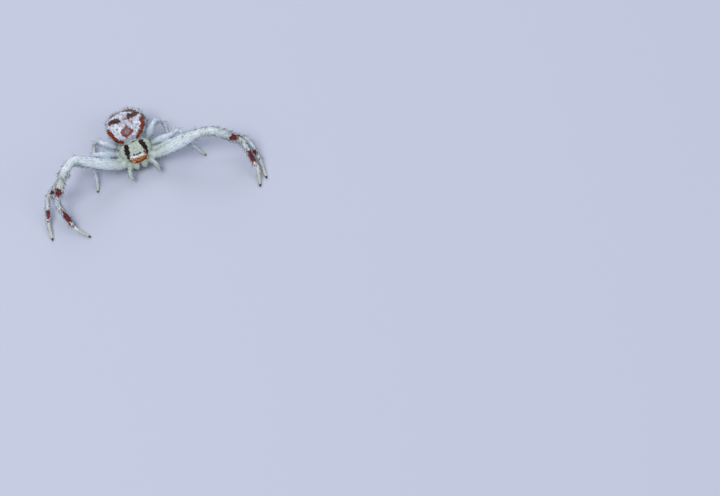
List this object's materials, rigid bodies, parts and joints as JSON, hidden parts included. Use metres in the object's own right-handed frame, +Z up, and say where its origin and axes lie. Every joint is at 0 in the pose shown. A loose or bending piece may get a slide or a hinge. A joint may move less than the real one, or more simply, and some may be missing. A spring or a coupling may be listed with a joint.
{
  "type": "crab spider model",
  "caption": "Life-size still model of a pale crab spider with raised front legs held wide, standing on its feet.",
  "frame": {"origin": "on the floor, under the middle of the model's box", "axes": "+Z up; the spider faces -Y; its left side is +X, along which its spread front legs reach furthest"},
  "size_m": [0.0204, 0.0112, 0.0044],
  "materials": {
    "carapace": "pale greenish cream with dark brown side bands and rust lines round the eyes",
    "abdomen": "chalky white with bluish mottling, brown bars, a rust diamond and rust side stripes",
    "front_leg": "greenish cream with fine dark dots, bristles and crimson brown bands",
    "hind_leg": "plain, slightly translucent bluish white",
    "jaw": "pale greenish cream, mottled",
    "feeler": "pale greenish cream with fine dark bristles",
    "spinnerets": "pale yellowish cream",
    "eye": "glossy black beads"
  },
  "bodies": {
    "root": {"abdomen": "abdomen", "eye_back_middle_left": "eye", "eye_back_middle_right": "eye", "eye_back_side_left": "eye", "eye_back_side_right": "eye", "eye_front_middle_left": "eye", "eye_front_middle_right": "eye", "eye_front_side_left": "eye", "eye_front_side_right": "eye", "feeler_left_base": "feeler", "feeler_left_tip": "feeler", "feeler_right_base": "feeler", "feeler_right_tip": "feeler", "jaw_left": "jaw", "jaw_right": "jaw", "left_1_coxa": "front_leg", "left_1_femur": "front_leg", "left_1_metatarsus": "front_leg", "left_1_patella": "front_leg", "left_1_tarsus": "front_leg", "left_1_tibia": "front_leg", "left_2_coxa": "front_leg", "left_2_femur": "front_leg", "left_2_metatarsus": "front_leg", "left_2_patella": "front_leg", "left_2_tarsus": "front_leg", "left_2_tibia": "front_leg", "left_3_coxa": "hind_leg", "left_3_femur": "hind_leg", "left_3_tarsus": "hind_leg", "left_3_tibia": "hind_leg", "left_4_coxa": "hind_leg", "left_4_femur": "hind_leg", "left_4_tarsus": "hind_leg", "left_4_tibia": "hind_leg", "prosoma": "carapace", "right_1_coxa": "front_leg", "right_1_femur": "front_leg", "right_1_metatarsus": "front_leg", "right_1_patella": "front_leg", "right_1_tarsus": "front_leg", "right_1_tibia": "front_leg", "right_2_coxa": "front_leg", "right_2_femur": "front_leg", "right_2_metatarsus": "front_leg", "right_2_patella": "front_leg", "right_2_tarsus": "front_leg", "right_2_tibia": "front_leg", "right_3_coxa": "hind_leg", "right_3_femur": "hind_leg", "right_3_tarsus": "hind_leg", "right_3_tibia": "hind_leg", "right_4_coxa": "hind_leg", "right_4_femur": "hind_leg", "right_4_tarsus": "hind_leg", "right_4_tibia": "hind_leg", "spinnerets": "spinnerets"}
  },
  "joints": []
}
